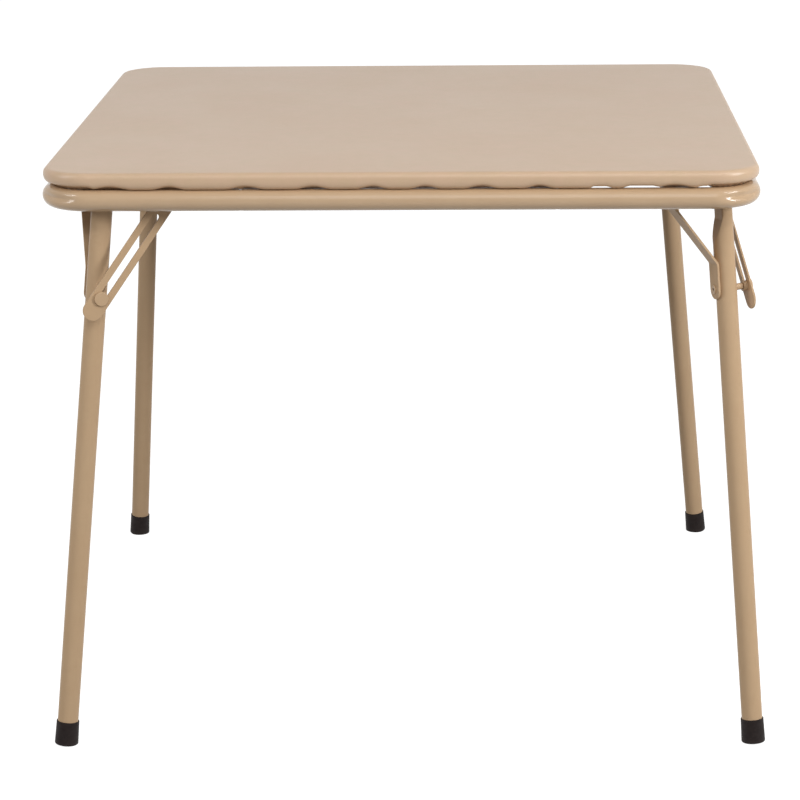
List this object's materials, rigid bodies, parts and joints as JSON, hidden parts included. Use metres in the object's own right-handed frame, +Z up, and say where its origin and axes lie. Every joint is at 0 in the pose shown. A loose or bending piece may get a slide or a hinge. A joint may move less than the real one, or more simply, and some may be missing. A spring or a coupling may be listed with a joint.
{
  "type": "folding card table",
  "caption": "Square folding card table with a padded vinyl top on a bent steel tube frame, splayed tube legs with slotted lock links and bent side braces, and rubber foot caps.",
  "frame": {"origin": "on the floor under the middle of the top, with the legs open", "axes": "+Z up and square to the top, +X to the right along the front rail, +Y from the front rail to the rear rail"},
  "size_m": [0.8844, 0.8844, 0.711],
  "materials": {
    "cover_vinyl": "fine grained vinyl, satin",
    "foam": "open-cell foam",
    "board": "raw fibreboard",
    "zinc_steel": "zinc plated",
    "cap_rubber": "matt black rubber",
    "painted_rivet": "semi-gloss powder coat over the formed rivet",
    "painted_steel": "semi-gloss powder coat"
  },
  "bodies": {
    "table_frame": {"frame_rail": "painted_steel", "top_board": "board", "foam_pad": "foam", "vinyl_cover": "cover_vinyl", "staples": "zinc_steel", "panel_screws": "zinc_steel", "front_left_hinge_bracket": "painted_steel", "front_left_leg_pivot_rivet": "painted_rivet", "front_left_brace_bracket": "painted_steel", "front_left_brace_pivot_rivet": "painted_rivet", "front_left_link_pivot_rivet": "painted_rivet", "front_right_hinge_bracket": "painted_steel", "front_right_leg_pivot_rivet": "painted_rivet", "front_right_brace_bracket": "painted_steel", "front_right_brace_pivot_rivet": "painted_rivet", "front_right_link_pivot_rivet": "painted_rivet", "rear_right_hinge_bracket": "painted_steel", "rear_right_leg_pivot_rivet": "painted_rivet", "rear_right_brace_bracket": "painted_steel", "rear_right_brace_pivot_rivet": "painted_rivet", "rear_right_link_pivot_rivet": "painted_rivet", "rear_left_hinge_bracket": "painted_steel", "rear_left_leg_pivot_rivet": "painted_rivet", "rear_left_brace_bracket": "painted_steel", "rear_left_brace_pivot_rivet": "painted_rivet", "rear_left_link_pivot_rivet": "painted_rivet"},
    "front_left_leg": {"front_left_leg_tube": "painted_steel", "front_left_foot_cap": "cap_rubber", "front_left_side_brace": "painted_steel", "front_left_cross_rivet": "painted_rivet"},
    "front_left_link": {"front_left_lock_link": "painted_steel"},
    "front_left_stud": {"front_left_slide_stud": "painted_rivet"},
    "front_right_leg": {"front_right_leg_tube": "painted_steel", "front_right_foot_cap": "cap_rubber", "front_right_side_brace": "painted_steel", "front_right_cross_rivet": "painted_rivet"},
    "front_right_link": {"front_right_lock_link": "painted_steel"},
    "front_right_stud": {"front_right_slide_stud": "painted_rivet"},
    "rear_right_leg": {"rear_right_leg_tube": "painted_steel", "rear_right_foot_cap": "cap_rubber", "rear_right_side_brace": "painted_steel", "rear_right_cross_rivet": "painted_rivet"},
    "rear_right_link": {"rear_right_lock_link": "painted_steel"},
    "rear_right_stud": {"rear_right_slide_stud": "painted_rivet"},
    "rear_left_leg": {"rear_left_leg_tube": "painted_steel", "rear_left_foot_cap": "cap_rubber", "rear_left_side_brace": "painted_steel", "rear_left_cross_rivet": "painted_rivet"},
    "rear_left_link": {"rear_left_lock_link": "painted_steel"},
    "rear_left_stud": {"rear_left_slide_stud": "painted_rivet"}
  },
  "joints": [
    {"name": "front_left_leg_fold", "type": "hinge", "parent": "table_frame", "child": "front_left_leg", "pos_m": [-0.352, -0.3795, 0.6748], "axis": [0.3418, -0.9391, 0.0349], "range_deg": [0, 96.5]},
    {"name": "front_left_link_turn", "type": "hinge", "parent": "table_frame", "child": "front_left_link", "pos_m": [-0.27975, -0.35311, 0.67735], "axis": [0.3418, -0.9391, 0.0349], "range_deg": [0, 123.45]},
    {"name": "front_left_stud_slide", "type": "slide", "parent": "front_left_link", "child": "front_left_stud", "axis": [0.556, 0.232, 0.7981], "range_m": [0, 0.10885]},
    {"name": "front_right_leg_fold", "type": "hinge", "parent": "table_frame", "child": "front_right_leg", "pos_m": [0.3795, -0.352, 0.6748], "axis": [0.9391, 0.3418, 0.0349], "range_deg": [0, 96.5]},
    {"name": "front_right_link_turn", "type": "hinge", "parent": "table_frame", "child": "front_right_link", "pos_m": [0.35311, -0.27975, 0.67735], "axis": [0.9391, 0.3418, 0.0349], "range_deg": [0, 123.45]},
    {"name": "front_right_stud_slide", "type": "slide", "parent": "front_right_link", "child": "front_right_stud", "axis": [-0.232, 0.556, 0.7981], "range_m": [0, 0.10885]},
    {"name": "rear_right_leg_fold", "type": "hinge", "parent": "table_frame", "child": "rear_right_leg", "pos_m": [0.352, 0.3795, 0.6748], "axis": [-0.3418, 0.9391, 0.0349], "range_deg": [0, 96.5]},
    {"name": "rear_right_link_turn", "type": "hinge", "parent": "table_frame", "child": "rear_right_link", "pos_m": [0.27975, 0.35311, 0.67735], "axis": [-0.3418, 0.9391, 0.0349], "range_deg": [0, 123.45]},
    {"name": "rear_right_stud_slide", "type": "slide", "parent": "rear_right_link", "child": "rear_right_stud", "axis": [-0.556, -0.232, 0.7981], "range_m": [0, 0.10885]},
    {"name": "rear_left_leg_fold", "type": "hinge", "parent": "table_frame", "child": "rear_left_leg", "pos_m": [-0.3795, 0.352, 0.6748], "axis": [-0.9391, -0.3418, 0.0349], "range_deg": [0, 96.5]},
    {"name": "rear_left_link_turn", "type": "hinge", "parent": "table_frame", "child": "rear_left_link", "pos_m": [-0.35311, 0.27975, 0.67735], "axis": [-0.9391, -0.3418, 0.0349], "range_deg": [0, 123.45]},
    {"name": "rear_left_stud_slide", "type": "slide", "parent": "rear_left_link", "child": "rear_left_stud", "axis": [0.232, -0.556, 0.7981], "range_m": [0, 0.10885]}
  ],
  "couplings": [
    {"joint": "front_left_link_turn", "follows": "front_left_leg_fold", "ratio": 1.2792},
    {"joint": "front_left_stud_slide", "follows": "front_left_leg_fold", "m_per_rad": 0.06462},
    {"joint": "front_right_link_turn", "follows": "front_right_leg_fold", "ratio": 1.2792},
    {"joint": "front_right_stud_slide", "follows": "front_right_leg_fold", "m_per_rad": 0.06462},
    {"joint": "rear_right_link_turn", "follows": "rear_right_leg_fold", "ratio": 1.2792},
    {"joint": "rear_right_stud_slide", "follows": "rear_right_leg_fold", "m_per_rad": 0.06462},
    {"joint": "rear_left_link_turn", "follows": "rear_left_leg_fold", "ratio": 1.2792},
    {"joint": "rear_left_stud_slide", "follows": "rear_left_leg_fold", "m_per_rad": 0.06462}
  ]
}
